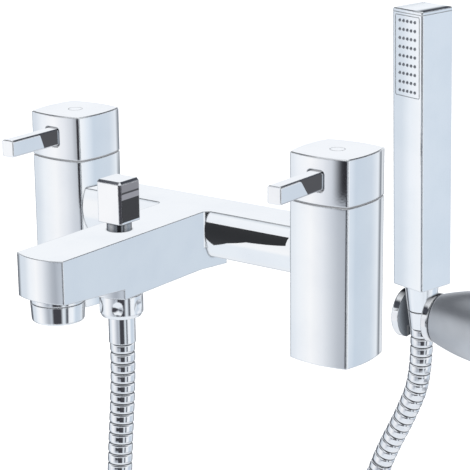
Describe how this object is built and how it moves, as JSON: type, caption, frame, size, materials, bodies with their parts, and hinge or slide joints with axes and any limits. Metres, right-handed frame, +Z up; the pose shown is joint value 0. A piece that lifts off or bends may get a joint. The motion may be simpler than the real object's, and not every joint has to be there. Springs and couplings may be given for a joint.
{
  "type": "bath shower mixer",
  "caption": "Deck-mounted bath shower mixer: bowed square pillars with lever heads, a beam and flat spout, pull-up diverter, hose, stick handset and swivel wall bracket.",
  "frame": {"origin": "on the deck, midway between the centres of the two inlets", "axes": "+Z up, -Y out of the spout over the bath, +X towards the right pillar, beside which the handset hangs"},
  "size_m": [0.2695, 0.2601, 0.4465],
  "materials": {
    "body_chrome": "polished",
    "handle_chrome": "polished",
    "handset_chrome": "polished",
    "bracket_chrome": "polished",
    "hose_chrome": "polished, ribbed",
    "brass": "machined",
    "steel": "plain",
    "ceramic": "lapped ceramic",
    "black_rubber": "matt",
    "nozzle_rubber": "soft silicone",
    "white_plastic": "moulded",
    "tie_plastic": "moulded"
  },
  "bodies": {
    "mixer_body": {"body_casting": "body_chrome", "base_seals": "black_rubber", "diverter_bonnet": "body_chrome", "bonnet_seal": "black_rubber", "diverter_spring": "steel", "aerator_housing": "body_chrome", "aerator_insert": "white_plastic", "aerator_washer": "black_rubber", "outlet_nipple": "brass", "outlet_check_valve": "white_plastic", "hose_nut": "hose_chrome", "hose_washer": "black_rubber", "hose_ferrule": "hose_chrome", "hose_outlet_stretch": "hose_chrome", "hose_coil": "hose_chrome", "hose_ties": "tie_plastic", "bracket_base": "bracket_chrome", "bracket_wall_plate": "steel", "wall_screws": "steel", "clip_pivot_screw": "steel", "bracket_grub_screw": "steel", "left_cartridge": "brass", "left_cartridge_seal": "black_rubber", "left_seat_seal": "black_rubber", "left_fixed_disc": "ceramic", "right_cartridge": "brass", "right_cartridge_seal": "black_rubber", "right_seat_seal": "black_rubber", "right_fixed_disc": "ceramic"},
    "left_handle": {"left_head": "handle_chrome", "left_lever": "handle_chrome", "left_index_plug": "handle_chrome", "left_head_screw": "steel", "left_spindle": "brass", "left_spindle_seal": "black_rubber", "left_circlip": "steel", "left_moving_disc": "ceramic"},
    "right_handle": {"right_head": "handle_chrome", "right_lever": "handle_chrome", "right_index_plug": "handle_chrome", "right_head_screw": "steel", "right_spindle": "brass", "right_spindle_seal": "black_rubber", "right_circlip": "steel", "right_moving_disc": "ceramic"},
    "diverter": {"diverter_knob": "handle_chrome", "diverter_stem": "brass", "diverter_piston_seal": "black_rubber", "diverter_stem_nut": "brass"},
    "clip": {"bracket_clip": "bracket_chrome"},
    "hose_end": {"cone_nut": "hose_chrome", "cone_washer": "black_rubber", "hose_handset_stretch": "hose_chrome"},
    "handset": {"handset_shell": "handset_chrome", "handset_end_cap": "handset_chrome", "nozzle_plate": "handset_chrome", "nozzle_mat": "nozzle_rubber", "handset_tail": "handset_chrome", "handset_water_tube": "white_plastic"}
  },
  "joints": [
    {"name": "left_handle_turn", "type": "hinge", "parent": "mixer_body", "child": "left_handle", "pos_m": [-0.09, 0, 0.1], "axis": [0, 0, 1], "range_deg": [-90, 0]},
    {"name": "right_handle_turn", "type": "hinge", "parent": "mixer_body", "child": "right_handle", "pos_m": [0.09, 0, 0.1], "axis": [0, 0, 1], "range_deg": [0, 90]},
    {"name": "diverter_pull", "type": "slide", "parent": "mixer_body", "child": "diverter", "axis": [0, 0, 1], "range_m": [0, 0.0062], "stiffness_N_per_m": 150, "springref_m": -0.006, "deforming": ["diverter_spring"]},
    {"name": "clip_tilt", "type": "hinge", "parent": "mixer_body", "child": "clip", "pos_m": [0.082, 0.1033, -0.008], "axis": [1, 0, 0], "range_deg": [-20, 25]},
    {"name": "handset_lift", "type": "slide", "parent": "clip", "child": "hose_end", "axis": [0, -0.0332, 0.9995], "range_m": [0, 0.024]},
    {"name": "handset_turn", "type": "hinge", "parent": "hose_end", "child": "handset", "pos_m": [0.082, 0.1033, -0.008], "axis": [0, -0.0332, 0.9995], "continuous": true}
  ]
}
